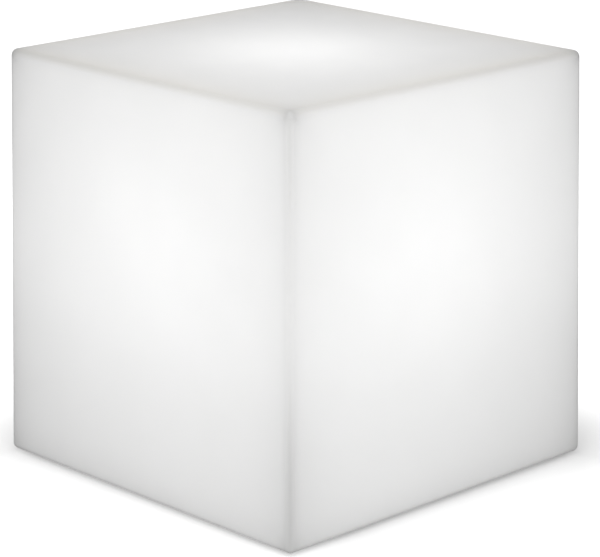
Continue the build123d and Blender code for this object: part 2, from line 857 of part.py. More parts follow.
def battery_lead(y):
    """Lead from a cell tab out over the tray's end and down to its terminal."""
    start_x = cell_length / 2 + tab_thickness
    end_x = board_radius - terminal_inset
    reach = min(end_x - start_x, cell_axis - terminal_top)
    corner = (end_x, y, cell_axis)
    end = (end_x, y, terminal_top)
    path = FilletPolyline((start_x, y, cell_axis), corner, end, radius=lead_bend_share * reach)
    section = Plane(origin=(start_x, y, cell_axis), z_dir=(1, 0, 0)) * Circle(lead_diameter / 2)
    return sweep(section, path)


def led_lead(y):
    """Straight lead from the terminal up the post's bore to the top LED board."""
    return disc(lead_diameter / 2, terminal_top, post_top, 0, y)


def make_lead_grommet():
    """Rubber grommet in the deck, with a hole for each LED lead."""
    flange_radius_here = grommet_diameter / 2 + grommet_flange_width
    grommet = disc(grommet_diameter / 2, deck_base, deck_top)
    grommet += disc(flange_radius_here, deck_top, deck_top + grommet_flange_thickness)
    grommet += disc(flange_radius_here, deck_base - grommet_flange_thickness, deck_base)
    for y in led_lead_places:
        hole_radius = lead_diameter / 2 + lead_hole_clearance
        grommet -= disc(hole_radius, 0, post_top, 0, y)
    return grommet


def make_deck_plate():
    """Lid of the lower housing, with posts for the battery tray and pilot holes for what stands on it."""
    deck = disc(cup_outer_radius, deck_base, deck_top)
    post_radius = wire_channel_width / 2 - tray_post_gap
    for x, y in tray_post_places:
        deck += disc(post_radius, tray_floor, deck_base, x, y)
    for x, y in tray_post_places:
        deck -= disc(small_thread / 2, tray_floor, tray_floor + small_pilot_depth, x, y)
    deck -= disc(grommet_diameter / 2, deck_base, deck_top)
    for x, y in deck_screw_places:
        deck -= disc(small_thread / 2 + small_screw_hole_clearance, deck_base, deck_top, x, y)
    for x, y in post_screw_places + diffuser_screw_places:
        deck -= disc(small_thread / 2, deck_base + deck_screw_cover, deck_top, x, y)
    return deck


def make_deck_seal():
    """Flat seal between the cup's rim and the deck."""
    seal = tube(cup_outer_radius, boss_reach, cup_rim, deck_base)
    for x, y in deck_screw_places:
        seal -= disc(small_thread / 2 + small_screw_hole_clearance, cup_rim, deck_base, x, y)
    return seal


def make_deck_screws():
    """Six screws that close the lower housing."""
    length = deck_thickness + deck_seal_thickness + small_screw_grip
    return screws_down(deck_screw_places, deck_top, small_thread, length, small_head, small_head_height)


def make_light_post():
    """Hexagonal aluminium heat sink on a round foot, bored for the leads."""
    foot_top = deck_top + post_foot_thickness
    post = disc(post_foot_diameter / 2, deck_top, foot_top)
    outline = RegularPolygon(post_across_flats / 2, post_sides, major_radius=False)
    post += Pos(0, 0, foot_top) * extrude(outline, post_height)
    post -= disc(post_bore / 2, deck_top, post_top)
    room_radius = grommet_diameter / 2 + grommet_flange_width + grommet_room
    post -= disc(room_radius, deck_top, deck_top + grommet_flange_thickness + grommet_room)
    for x, y in post_screw_places:
        post -= disc(small_thread / 2 + small_screw_hole_clearance, deck_top, foot_top, x, y)
    return post


def make_post_screws():
    """Three screws that fix the post to the deck."""
    seat = deck_top + post_foot_thickness
    length = post_foot_thickness + deck_thickness - 2 * deck_screw_cover
    return screws_down(post_screw_places, seat, small_thread, length, small_head, small_head_height)


def flat_angles():
    """Directions that the post's flats face."""
    step = 360.0 / post_sides
    return [step * (index + 0.5) for index in range(post_sides)]


def make_led_strips():
    """Boards bonded to the post's flats."""
    base = deck_top + post_foot_thickness + led_strip_margin
    top = post_top - led_strip_margin
    middle = post_across_flats / 2 + led_strip_thickness / 2
    strip = block(led_strip_thickness, led_strip_width, base, top, middle)
    return Compound([Rot(0, 0, angle) * strip for angle in flat_angles()])


def make_led_chips():
    """LED packages along the strips."""
    base = deck_top + post_foot_thickness + led_strip_margin
    step = (post_height - 2 * led_strip_margin) / led_chips_per_strip
    middle = post_across_flats / 2 + led_strip_thickness + led_chip_height / 2
    chips = []
    for angle in flat_angles():
        for index in range(led_chips_per_strip):
            chip = Box(led_chip_height, led_chip_side, led_chip_side)
            height = base + (index + 0.5) * step
            chips.append(Rot(0, 0, angle) * Pos(middle, 0, height) * chip)
    return Compound(chips)


def make_top_led_board():
    """Hexagonal board on the post's end."""
    apothem = post_across_flats / 2 - top_board_margin
    outline = RegularPolygon(apothem, post_sides, major_radius=False)
    return Pos(0, 0, post_top) * extrude(outline, led_strip_thickness)


def make_top_led_chips():
    """LED packages that shine upwards."""
    chip = block(led_chip_side, led_chip_side, top_board_top, top_board_top + led_chip_height)
    radius = post_across_flats / 2 - top_led_margin
    return Compound([Pos(x, y) * chip for x, y in circle_places(radius, top_led_count)])


def make_light_diffuser():
    """Opal tube with a domed end and a screwed flange."""
    outside = disc(diffuser_radius, diffuser_base, dome_centre)
    outside += Pos(0, 0, dome_centre) * Sphere(diffuser_radius)
    inside = disc(diffuser_inner_radius, diffuser_base, dome_centre)
    inside += Pos(0, 0, dome_centre) * Sphere(diffuser_inner_radius)
    flange_top = diffuser_base + diffuser_flange_thickness
    diffuser = outside + disc(diffuser_flange_radius, diffuser_base, flange_top)
    diffuser -= inside
    for x, y in diffuser_screw_places:
        hole_radius = small_thread / 2 + small_screw_hole_clearance
        diffuser -= disc(hole_radius, diffuser_base, flange_top, x, y)
    return diffuser


def make_diffuser_seal():
    """Flat ring under the diffuser's flange."""
    seal = tube(diffuser_flange_radius, diffuser_inner_radius, deck_top, diffuser_base)
    for x, y in diffuser_screw_places:
        seal -= disc(small_thread / 2 + small_screw_hole_clearance, deck_top, diffuser_base, x, y)
    return seal


def make_diffuser_screws():
    """Four screws that hold the diffuser on the deck."""
    seat = diffuser_base + diffuser_flange_thickness
    length = seat - deck_base - 2 * deck_screw_cover
    return screws_down(
        diffuser_screw_places, seat, small_thread, length, small_head, small_head_height
    )


parts = {
    "cube_shell": make_cube_shell(),
    "rubber_feet": make_rubber_feet(),
    "threaded_inserts": make_threaded_inserts(),
    "ring_gasket": make_ring_gasket(),
    "locking_ring": make_locking_ring(),
    "ring_screws": make_ring_screws(),
    "module_base": make_module_base(),
    "module_o_ring": make_module_o_ring(),
    "control_board": make_control_board(),
    "board_screws": make_board_screws(),
    "board_components": make_board_components(),
    "battery_terminals": make_battery_terminals(),
    "led_terminals": make_led_terminals(),
    "tact_switch": make_tact_switch(),
    "power_button": make_power_button(),
    "switch_plunger": make_switch_plunger(),
    "button_spring": make_button_spring(),
    "status_light_pipe": make_status_light_pipe(),
    "charge_jack": make_charge_jack(),
    "jack_contact_pin": make_jack_contact_pin(),
    "port_cover": make_port_cover(),
    "port_pad": make_port_pad(),
    "port_hinge_pin": make_port_hinge_pin(),
    "pressure_vent": make_pressure_vent(),
    "vent_nut": make_vent_nut(),
    "battery_tray": make_battery_tray(),
    "tray_screws": make_tray_screws(),
    "battery_cells": make_battery_cells(),
    "cell_tabs": make_cell_tabs(),
    "battery_pads": make_battery_pads(),
    "battery_lead_positive": battery_lead(battery_lead_places[0]),
    "battery_lead_negative": battery_lead(battery_lead_places[1]),
    "led_lead_positive": led_lead(led_lead_places[0]),
    "led_lead_negative": led_lead(led_lead_places[1]),
    "lead_grommet": make_lead_grommet(),
    "deck_plate": make_deck_plate(),
    "deck_seal": make_deck_seal(),
    "deck_screws": make_deck_screws(),
    "light_post": make_light_post(),
    "post_screws": make_post_screws(),
    "led_strips": make_led_strips(),
    "led_chips": make_led_chips(),
    "top_led_board": make_top_led_board(),
    "top_led_chips": make_top_led_chips(),
    "light_diffuser": make_light_diffuser(),
    "diffuser_seal": make_diffuser_seal(),
    "diffuser_screws": make_diffuser_screws(),
}

os.makedirs("parts", exist_ok=True)
for name, shape in parts.items():
    export_step(shape, f"parts/{name}.step")
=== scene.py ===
import json
from itertools import product
from math import cos, pi, radians, sin, tan

import bmesh
import bpy
from mathutils import Matrix, Vector, noise


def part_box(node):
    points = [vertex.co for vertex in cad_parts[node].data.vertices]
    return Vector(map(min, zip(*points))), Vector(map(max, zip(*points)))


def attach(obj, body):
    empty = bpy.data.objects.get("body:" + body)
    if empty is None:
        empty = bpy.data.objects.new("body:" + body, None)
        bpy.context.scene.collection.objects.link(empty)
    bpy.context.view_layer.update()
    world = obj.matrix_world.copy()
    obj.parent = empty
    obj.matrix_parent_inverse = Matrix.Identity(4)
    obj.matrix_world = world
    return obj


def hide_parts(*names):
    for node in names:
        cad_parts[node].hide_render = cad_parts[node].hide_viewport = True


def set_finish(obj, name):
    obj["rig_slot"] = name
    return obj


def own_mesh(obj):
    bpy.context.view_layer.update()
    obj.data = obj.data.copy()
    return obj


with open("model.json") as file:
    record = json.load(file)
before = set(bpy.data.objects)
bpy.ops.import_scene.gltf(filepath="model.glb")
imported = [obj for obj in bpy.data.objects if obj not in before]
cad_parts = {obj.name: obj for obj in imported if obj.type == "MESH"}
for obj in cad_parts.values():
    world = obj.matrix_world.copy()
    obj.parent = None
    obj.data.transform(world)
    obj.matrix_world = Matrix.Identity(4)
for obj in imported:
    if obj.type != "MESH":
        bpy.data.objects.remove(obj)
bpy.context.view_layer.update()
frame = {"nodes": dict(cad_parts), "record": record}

# Cordless glowing cube lamp. All lengths are metres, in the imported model's frame: +Z up, floor at zero.

# Cube shell, as the CAD source gives it
SHELL_SIDE = 0.405
MOULD_DRAFT = radians(1.0)
SHELL_WALL = 0.004
EDGE_RADIUS = 0.007
INNER_EDGE_RADIUS = 0.012
RECESS_DEPTH = 0.028
RECESS_DRAFT = radians(4.0)
RECESS_RIM_RADIUS = 0.005
RECESS_CLEARANCE = 0.006
RECESS_CORNER_RADIUS = 0.0015
OPENING_SETBACK = 0.020
INSERT_SETBACK = 0.008
INSERT_COUNT = 6
INSERT_START_ANGLE = radians(30)
INSERT_HOLE_RADIUS = 0.00285
INSERT_HOLE_DEPTH = 0.011
BOSS_RADIUS = 0.007
BOSS_HEIGHT = 0.010
BOSS_EDGE_RADIUS = 0.001
FOOT_RADIUS = 0.015
FOOT_POCKET_RADIUS = 0.0152
FOOT_POCKET_DEPTH = 0.002

# Mesh of the shell: steps along its forms, level rings beside the recess, and the slow waves of moulding
FLAT_STEPS = 28
ARC_STEPS = 5
FILLET_STEPS = 6
ROD_STEPS = 48
ROD_EDGE_STEPS = 4
ROUND_PROFILE = 0.5
LEVEL_RING = 0.012
WAVE_LENGTH = 0.085
WAVE_DEPTH = 0.00025

# Every made piece: the angle from which an edge stays crisp, and how near two points are joined
SHARP_ANGLE = radians(32)
WELD_DISTANCE = 0.000001

# Spring under the power button
SPRING_WIRE_RADIUS = 0.00035
SPRING_TURNS = 4
SPRING_END_RISE = 0.0009
SPRING_STEPS_PER_TURN = 32
SPRING_WIRE_STEPS = 10

# Foam pads over the cells
PAD_WIDTH = 0.0282
PAD_EDGE_RADIUS = 0.0011
PAD_WAIST = 0.0007
PAD_FLAT_STEPS = 14
PAD_ARC_STEPS = 4
FOAM_CELL_SIZE = 0.0011
FOAM_CELL_DEPTH = 0.0003

# Finish of the shell: cloudy tone, uneven sheen, fine peel, and painted shade that darkens the edges
SHELL_TONES = ((0.862, 0.862, 0.857), (0.882, 0.882, 0.878))
SHELL_TONE_SIZE = 0.07
SHELL_ROUGHNESS = (0.55, 0.65)
SHELL_SHEEN_SIZE = 0.02
SHELL_SPECULAR = 0.12
PEEL_SIZE = 0.0022
PEEL_DEPTH = 0.00003
EDGE_SHADE_REACH = 0.004
PAINTED_EDGE_SHADE = (0.86, 0.858, 0.85, 1.0)

# Glow of the shell. A fade is the share of the light lost where two faces would meet, which their rounding
# cuts off, and how far in from there the loss reaches. The two depths multiply the fades of the upright edges
# The glow is painted as emission, since the light unit inside does not shine through the wall. It is painted
# darker towards the floor, on the underside, and in the edges and corners
GLOW_CENTRE = (0.0, 0.0, 0.259)
SIDE_GLOW = 0.516
SIDE_GLOW_AT_FLOOR = 0.394
FULL_GLOW_HEIGHT = 0.226
TOP_GLOW = 0.419
UNDERSIDE_SHARE = 0.25
EVEN_SHARE = 0.686
SPOT_SHARE = 0.314
SPOT_DISTANCE = 0.2
SPOT_POWER = -3.0
UPRIGHT_EDGE_FADES = ((0.51, 0.0034), (0.235, 0.033))
UPRIGHT_DEPTH_AT_FLOOR = 2.35
UPRIGHT_DEPTH_AT_TOP = 1.63
TOP_EDGE_FADES = ((0.66, 0.0033), (0.115, 0.053))
FLOOR_EDGE_FADES = ((0.54, 0.022),)
CORNER_FADES = ((2.0, 0.0057),)
# Warmer tint of the painted glow near the top edges, and how far it reaches
TOP_EDGE_WARMTH = (1.06, 1.0, 0.89, 1.0)
WARMTH_REACH = 0.02
CLOUD_SIZE = 0.045
CLOUD_DEPTH = 0.015

# Finishes of the other material slots. Lines and wrinkles are how many go to a metre along X, Y and Z
LINES_ALONG_Z = (1500.0, 1500.0, 30.0)
LINES_ROUND_Z = (120.0, 120.0, 2600.0)
LINES_SCATTERED = (900.0, 300.0, 300.0)
WRINKLES_ROUND_X = (260.0, 40.0, 40.0)
MOULDED_FINISHES = {
    "housing_plastic": dict(colour=(0.78, 0.78, 0.76), roughness=0.52),
    "ring_plastic": dict(colour=(0.58, 0.59, 0.59), roughness=0.5),
    "terminal_plastic": dict(colour=(0.72, 0.71, 0.63), roughness=0.5),
    "button_plastic": dict(colour=(0.29, 0.30, 0.31), roughness=0.62, grain=0.0005, contrast=0.08),
    "silicone": dict(colour=(0.52, 0.53, 0.53), roughness=0.6, grain=0.0012, contrast=0.08),
    "rubber": dict(
        colour=(0.055, 0.055, 0.057), roughness=0.78, grain=0.0009, depth=0.00008, contrast=0.2
    ),
    "chip_black": dict(
        colour=(0.03, 0.03, 0.032), roughness=0.55, grain=0.0003, depth=0.00002, contrast=0.25
    ),
    "lead_red": dict(
        colour=(0.58, 0.035, 0.03), roughness=0.55, grain=0.0004, depth=0.00001, contrast=0.1
    ),
    "lead_black": dict(
        colour=(0.03, 0.03, 0.03), roughness=0.55, grain=0.0004, depth=0.00001, contrast=0.2
    ),
}
METAL_FINISHES = {
    "brass": dict(colour=(0.72, 0.55, 0.26), roughness=0.3, lines=LINES_ROUND_Z),
    "stainless": dict(colour=(0.60, 0.60, 0.59), roughness=0.28, lines=LINES_SCATTERED),
    "aluminium": dict(colour=(0.72, 0.73, 0.74), roughness=0.36, lines=LINES_ALONG_Z, depth=0.00002),
    "nickel": dict(colour=(0.66, 0.64, 0.60), roughness=0.3, lines=LINES_SCATTERED),
}
BOARD_FINISHES = {
    "circuit_board": dict(mask=(0.012, 0.14, 0.065), trace=(0.04, 0.26, 0.11)),
    "white_board": dict(mask=(0.80, 0.80, 0.78), trace=(0.88, 0.88, 0.86)),
}
GLOWING_FINISHES = {
    "led_phosphor": dict(
        low=(0.95, 0.80, 0.42), high=(1.0, 0.90, 0.62), size=0.002, strength=2.0, roughness=0.4
    ),
    "opal_polycarbonate": dict(
        low=(0.90, 0.89, 0.85), high=(0.95, 0.94, 0.91), size=0.03, strength=0.8, roughness=0.3
    ),
}
BLACK = (0, 0, 0, 1)
WHITE = (1, 1, 1, 1)

# Camera, fitted to the photograph's corners
CAMERA_AZIMUTH = radians(45.85)
CAMERA_ELEVATION = radians(16.22)
CAMERA_DISTANCE = 2.6675
CAMERA_RIGHT = 0.0047
CAMERA_UP = -0.0233
CAMERA_LENS = 162.67
CAMERA_SENSOR = 36.0
CAMERA_TARGET = Vector((0.0, 0.0, 0.206))

# Studio
FLOOR_RADIUS = 9.0
FLOOR_STEPS = 96
FLOOR_COLOUR = 0.80
FLOOR_CAMERA_COLOUR = 0.95
# Painted shadow on the floor: its white glow fades out over a square set back behind the lamp, so the floor
# is darker there and the real shadow shows
SHADOW_CENTRE = (-0.016, 0.034, 0.0)
SHADOW_HALF_SIDE = 0.143
SHADOW_GLOW = 0.10
SHADOW_FADE_START = 0.038
SHADOW_FADE_END = 0.217
AMBIENT = 0.168
LIGHT_DISTANCE = 1.4
KEY_POWER = 9.95
KEY_SIZE = 1.5
KEY_AZIMUTH = radians(46.0)
KEY_ELEVATION = radians(34.0)
FILL_POWER = 5.6
FILL_SIZE = 0.4
FILL_AZIMUTH = radians(226.0)
FILL_ELEVATION = 0.0

# Places that follow from the frame and the sizes above
shell_low, shell_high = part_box("cube_shell")
shell_base = shell_low.z
shell_top = shell_high.z
half_side = SHELL_SIDE / 2
half_height = (shell_top - shell_base) / 2
shell_middle = Vector((0, 0, shell_base + half_height))
ring_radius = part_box("locking_ring")[1].x
foot_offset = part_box("rubber_feet")[1].x - FOOT_RADIUS
recess_radius = ring_radius + RECESS_CLEARANCE
recess_mouth = recess_radius + RECESS_DEPTH * tan(RECESS_DRAFT)
recess_ceiling = shell_base + RECESS_DEPTH
recess_roof = recess_ceiling + SHELL_WALL
opening_radius = ring_radius - OPENING_SETBACK
island_wall = SHELL_WALL / cos(RECESS_DRAFT)


def new_object(name, builder):
    """Makes a mesh object of what a bmesh holds, and frees the bmesh."""
    shape = bpy.data.meshes.new(name)
    builder.to_mesh(shape)
    builder.free()
    made = bpy.data.objects.new(name, shape)
    bpy.context.scene.collection.objects.link(made)
    return made


def join_points(builder):
    """Joins points that lie in one place."""
    bmesh.ops.remove_doubles(builder, verts=builder.verts[:], dist=WELD_DISTANCE)


def new_piece(name, builder, body, slot):
    """Makes a closed object, with its faces turned outwards, that rides on a CAD body and names its slot."""
    join_points(builder)
    bmesh.ops.recalc_face_normals(builder, faces=builder.faces[:])
    piece = new_object(name, builder)
    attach(piece, body)
    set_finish(piece, slot)
    return piece


def smooth(piece):
    """Shades a piece smooth, with its edges above the sharp angle kept crisp."""
    piece.data.shade_smooth()
    piece.data.set_sharp_from_angle(angle=SHARP_ANGLE)


def face_places(core, radius, flat_steps, arc_steps):
    """Places along one direction of a cube's face: equal angles on the flat and on each rounded end."""
    eighth_turn = radians(45)
    arc = [core + radius * tan(eighth_turn * step / arc_steps) for step in range(1, arc_steps + 1)]
    flat = [core * tan(eighth_turn * (2 * step / flat_steps - 1)) for step in range(flat_steps + 1)]
    return [-place for place in reversed(arc)] + flat + arc


def rounded_point(point, core, radius):
    """Moves a point of a cube's surface onto the cube with rounded edges, and gives the way out of it."""
    inner = Vector([max(-limit, min(limit, value)) for value, limit in zip(point, core)])
    outward = (point - inner).normalized()
    return inner + radius * outward, outward


def add_rounded_cube(builder, half, radius, settle, flat_steps, arc_steps, open_floor):
    """Adds a rounded box about the origin. settle places each point; an open floor leaves out its flat."""
    core = Vector([size - radius for size in half])
    places = [face_places(limit, radius, flat_steps, arc_steps) for limit in core]
    for axis, side in product(range(3), (-1, 1)):
        first, second = (axis + 1) % 3, (axis + 2) % 3
        grid = []
        for first_place in places[first]:
            row = []
            for second_place in places[second]:
                point = Vector((0, 0, 0))
                point[axis] = side * half[axis]
                point[first] = first_place
                point[second] = second_place
                row.append(builder.verts.new(settle(*rounded_point(point, core, radius))))
            grid.append(row)
        is_open = open_floor and axis == 2 and side < 0
        left_out = range(arc_steps, arc_steps + flat_steps) if is_open else ()
        for i, j in product(range(len(grid) - 1), range(len(grid[0]) - 1)):
            if i not in left_out or j not in left_out:
                builder.faces.new((grid[i][j], grid[i + 1][j], grid[i + 1][j + 1], grid[i][j + 1]))


def floor_angles():
    """Angles round Z that the shell's floor rings share with the square edge around them."""
    return [radians(90) * step / FLAT_STEPS - radians(45) for step in range(4 * FLAT_STEPS)]


def square_ring(core, height):
    """Points of a square round Z at the floor's angles."""
    points = []
    for index, angle in enumerate(floor_angles()):
        quarter_turn = radians(90) * (index // FLAT_STEPS)
        corner = Vector((core, core * tan(angle - quarter_turn), height))
        points.append(Matrix.Rotation(quarter_turn, 3, "Z") @ corner)
    return points


def circle_ring(radius, height):
    """Points of a circle round Z at the floor's angles."""
    return [Vector((radius * cos(angle), radius * sin(angle), height)) for angle in floor_angles()]


def add_rings(builder, rings):
    """Joins rings of points, one after the other, with quads, and gives the rings of vertices."""
    made = [[builder.verts.new(point) for point in ring] for ring in rings]
    for ring, following in zip(made, made[1:]):
        for index in range(len(ring)):
            after = (index + 1) % len(ring)
            builder.faces.new((ring[index], ring[after], following[after], following[index]))
    return made


def corner_arc(before, corner, after, radius, steps):
    """Profile points that round a corner: (distance from the axis, height) pairs."""
    before, corner, after = Vector(before), Vector(corner), Vector(after)
    towards = (before - corner).normalized()
    away = (after - corner).normalized()
    half_angle = towards.angle(away) / 2
    middle = corner + (towards + away).normalized() * (radius / sin(half_angle))
    start = corner + towards * (radius / tan(half_angle)) - middle
    end = corner + away * (radius / tan(half_angle)) - middle
    turn = start.angle_signed(end)
    return [middle + Matrix.Rotation(-turn * step / steps, 2) @ start for step in range(steps + 1)]


def rounded_profile(corners, radii):
    """Open profile whose inner corners are rounded by the given radii."""
    points = [Vector(corners[0])]
    for index, radius in enumerate(radii, start=1):
        points += corner_arc(*corners[index - 1:index + 2], radius, FILLET_STEPS)
    return points + [Vector(corners[-1])]


def shell_floor_profile():
    """From the underside over the recess's rim, wall and ceiling, through the opening, to the inner floor."""
    floor_top = shell_base + SHELL_WALL
    corners = [
        (recess_mouth + LEVEL_RING, shell_base),
        (recess_mouth, shell_base),
        (recess_radius, recess_ceiling),
        (opening_radius, recess_ceiling),
        (opening_radius, recess_roof),
        (recess_radius + island_wall, recess_roof),
        (recess_mouth + island_wall, floor_top),
        (recess_mouth + island_wall + LEVEL_RING, floor_top),
    ]
    inner_corners = len(corners) - 2
    return rounded_profile(corners, [RECESS_RIM_RADIUS] + [RECESS_CORNER_RADIUS] * (inner_corners - 1))


def half_at(height):
    """Half of the cube's side at a height, as its draft makes it."""
    return half_side - (height - shell_base) * tan(MOULD_DRAFT)


def drafted(point, base, base_half):
    """A point of a straight-sided box, leaned in by the mould's draft above the box's base."""
    lean = 1 - (point.z - base) * tan(MOULD_DRAFT) / base_half
    return Vector((point.x * lean, point.y * lean, point.z))


def outer_point(point, outward):
    """A point of the shell's outside, with the mould's slow waves on every face but the floor."""
    place = drafted(point + shell_middle, shell_base, half_side)
    wave = (1 + noise.noise(place / WAVE_LENGTH)) / 2
    above_floor = max(0.0, min(1.0, 1 + outward.z))
    return place - outward * WAVE_DEPTH * wave * above_floor


def carve(piece, tool, operation):
    """Joins or cuts a piece with a tool object, which is then removed."""
    modifier = piece.modifiers.new("carve", "BOOLEAN")
    modifier.operation = operation
    modifier.solver = "EXACT"
    modifier.object = tool
    bpy.context.view_layer.update()
    carved = piece.evaluated_get(bpy.context.evaluated_depsgraph_get())
    shape = bpy.data.meshes.new_from_object(carved)
    piece.modifiers.clear()
    piece.data = shape
    bpy.data.objects.remove(tool)


def weld(piece):
    """Joins the points of a carved piece that lie in one place, so that no face is without an area."""
    builder = bmesh.new()
    builder.from_mesh(piece.data)
    join_points(builder)
    builder.to_mesh(piece.data)
    builder.free()


def upright_rods(places, radius, base, top, edge_radius=0.0):
    """Tool object of upright rods, with their top edges rounded where that is asked."""
    builder = bmesh.new()
    for x, y in places:
        middle = Vector((x, y, (base + top) / 2))
        rod = bmesh.ops.create_cone(
            builder, cap_ends=True, segments=ROD_STEPS, radius1=radius, radius2=radius, depth=top - base,
            matrix=Matrix.Translation(middle),
        )
        if edge_radius:
            upper = {vert for vert in rod["verts"] if vert.co.z > middle.z}
            rim = [edge for edge in builder.edges if upper.issuperset(edge.verts)]
            bmesh.ops.bevel(
                builder, geom=rim, offset=edge_radius, segments=ROD_EDGE_STEPS, profile=ROUND_PROFILE,
                affect="EDGES",
            )
    return new_object("rods", builder)


def insert_places():
    """Centres of the bosses round the opening."""
    angles = [INSERT_START_ANGLE + 2 * pi / INSERT_COUNT * index for index in range(INSERT_COUNT)]
    reach = ring_radius - INSERT_SETBACK
    return [(reach * cos(angle), reach * sin(angle)) for angle in angles]


def make_shell():
    """The moulded cube: an outer and an inner skin, joined through the recess and the opening in its base."""
    inner_base = shell_base + SHELL_WALL
    inner_half_side = half_at(inner_base) - SHELL_WALL / cos(MOULD_DRAFT)
    outer_half = Vector((half_side, half_side, half_height))
    inner_half = Vector((inner_half_side, inner_half_side, half_height - SHELL_WALL))

    def inner_point(point, outward):
        return drafted(point + shell_middle, inner_base, inner_half_side)

    builder = bmesh.new()
    for half, radius, settle in (
        (outer_half, EDGE_RADIUS, outer_point),
        (inner_half, INNER_EDGE_RADIUS, inner_point),
    ):
        add_rounded_cube(builder, half, radius, settle, FLAT_STEPS, ARC_STEPS, open_floor=True)
    profile = [circle_ring(point.x, point.y) for point in shell_floor_profile()]
    outer_square = square_ring(half_side - EDGE_RADIUS, shell_base)
    inner_square = square_ring(inner_half_side - INNER_EDGE_RADIUS, inner_base)
    add_rings(builder, [outer_square, *profile, inner_square])
    shell = new_piece("shell_skin", builder, "shell", "shell_polyethylene")

    boss_root = recess_roof - SHELL_WALL / 2
    boss_top = recess_roof + BOSS_HEIGHT
    carve(shell, upright_rods(insert_places(), BOSS_RADIUS, boss_root, boss_top, BOSS_EDGE_RADIUS), "UNION")
    hole_start = recess_ceiling - SHELL_WALL
    hole_end = recess_ceiling + INSERT_HOLE_DEPTH
    carve(shell, upright_rods(insert_places(), INSERT_HOLE_RADIUS, hole_start, hole_end), "DIFFERENCE")
    feet = list(product((-foot_offset, foot_offset), repeat=2))
    pocket_start = shell_base - SHELL_WALL
    pocket_end = shell_base + FOOT_POCKET_DEPTH
    carve(shell, upright_rods(feet, FOOT_POCKET_RADIUS, pocket_start, pocket_end), "DIFFERENCE")
    weld(shell)
    smooth(shell)
    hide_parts("cube_shell")
    return shell


def make_spring():
    """Button spring with closed end turns."""
    low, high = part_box("button_spring")
    middle = (low + high) / 2
    coil_radius = (high.x - low.x) / 2 - SPRING_WIRE_RADIUS
    start = low.z + SPRING_WIRE_RADIUS
    rise = high.z - low.z - 2 * SPRING_WIRE_RADIUS
    inner_rise = (rise - 2 * SPRING_END_RISE) / (SPRING_TURNS - 2)

    def height(turn):
        if turn <= 1:
            return start + SPRING_END_RISE * turn
        if turn <= SPRING_TURNS - 1:
            return start + SPRING_END_RISE + inner_rise * (turn - 1)
        return start + rise - SPRING_END_RISE * (SPRING_TURNS - turn)

    rings = []
    for step in range(SPRING_TURNS * SPRING_STEPS_PER_TURN + 1):
        turn = step / SPRING_STEPS_PER_TURN
        outward = Vector((cos(2 * pi * turn), sin(2 * pi * turn), 0))
        centre = Vector((middle.x, middle.y, height(turn))) + outward * coil_radius
        ring = []
        for index in range(SPRING_WIRE_STEPS):
            around = 2 * pi * index / SPRING_WIRE_STEPS
            ring.append(centre + SPRING_WIRE_RADIUS * (outward * cos(around) + Vector((0, 0, sin(around)))))
        rings.append(ring)
    builder = bmesh.new()
    wire = add_rings(builder, rings)
    builder.faces.new(wire[0])
    builder.faces.new(wire[-1])
    spring = new_piece("button_coil_spring", builder, "light_unit", "stainless")
    smooth(spring)
    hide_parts("button_spring")

    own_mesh(spring)
    return spring


def add_pad(builder, middle, half):
    """Adds a foam strip with soft edges, whose sides draw in at its waist."""

    def pad_point(point, outward):
        level = 1 - abs(point.z) / half.z
        sideways = Vector((outward.x, outward.y, 0))
        return middle + point - sideways * PAD_WAIST * level

    add_rounded_cube(
        builder, half, PAD_EDGE_RADIUS, pad_point, PAD_FLAT_STEPS, PAD_ARC_STEPS, open_floor=False
    )


def make_pads():
    """Two foam strips, pressed flat between the cells and the deck."""
    low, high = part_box("battery_pads")
    half = Vector(((high.x - low.x) / 2, PAD_WIDTH / 2, (high.z - low.z) / 2))
    builder = bmesh.new()
    for side in (-1, 1):
        middle = Vector((0, side * (high.y - PAD_WIDTH / 2), (low.z + high.z) / 2))
        add_pad(builder, middle, half)
    pads = new_piece("foam_pads", builder, "light_unit", "foam")
    smooth(pads)
    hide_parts("battery_pads")
    return pads


class Nodes:
    """A node tree under construction, with short names for the nodes that materials and the world share."""

    def __init__(self, tree):
        self.tree = tree

    def add(self, kind, sockets=None, **properties):
        """Adds a node with its properties, and its sockets set to values or linked to outputs."""
        made = self.tree.nodes.new(kind)
        for name, value in properties.items():
            setattr(made, name, value)
        for name, value in (sockets or {}).items():
            self.feed(made.inputs[name], value)
        return made

    def feed(self, socket, value):
        """Links a socket to an output, or sets its value."""
        if isinstance(value, bpy.types.NodeSocket):
            self.tree.links.new(value, socket)
        else:
            socket.default_value = value

    def feed_in_order(self, node, *values):
        """Feeds a node's first sockets, one after the other, and gives its outputs."""
        for socket, value in zip(node.inputs, values):
            self.feed(socket, value)
        return node.outputs

    def math(self, operation, *values):
        """Result of a math node."""
        return self.feed_in_order(self.add("ShaderNodeMath", operation=operation), *values)["Value"]

    def vector(self, operation, *values):
        """Vector that a vector math node gives."""
        return self.feed_in_order(self.add("ShaderNodeVectorMath", operation=operation), *values)["Vector"]

    def length(self, vector):
        """Length of a vector."""
        return self.feed_in_order(self.add("ShaderNodeVectorMath", operation="LENGTH"), vector)["Value"]

    def spread(self, factor, low, high, start=0.3, end=0.7, course="LINEAR"):
        """Number between two numbers or patterns, as a factor goes from start to end."""
        sockets = {"Value": factor, "From Min": start, "From Max": end, "To Min": low, "To Max": high}
        return self.add("ShaderNodeMapRange", sockets, interpolation_type=course).outputs["Result"]

    def blend(self, factor, low, high):
        """Number between two numbers or patterns, as a zero-to-one factor says."""
        return self.spread(factor, low, high, start=0.0, end=1.0)


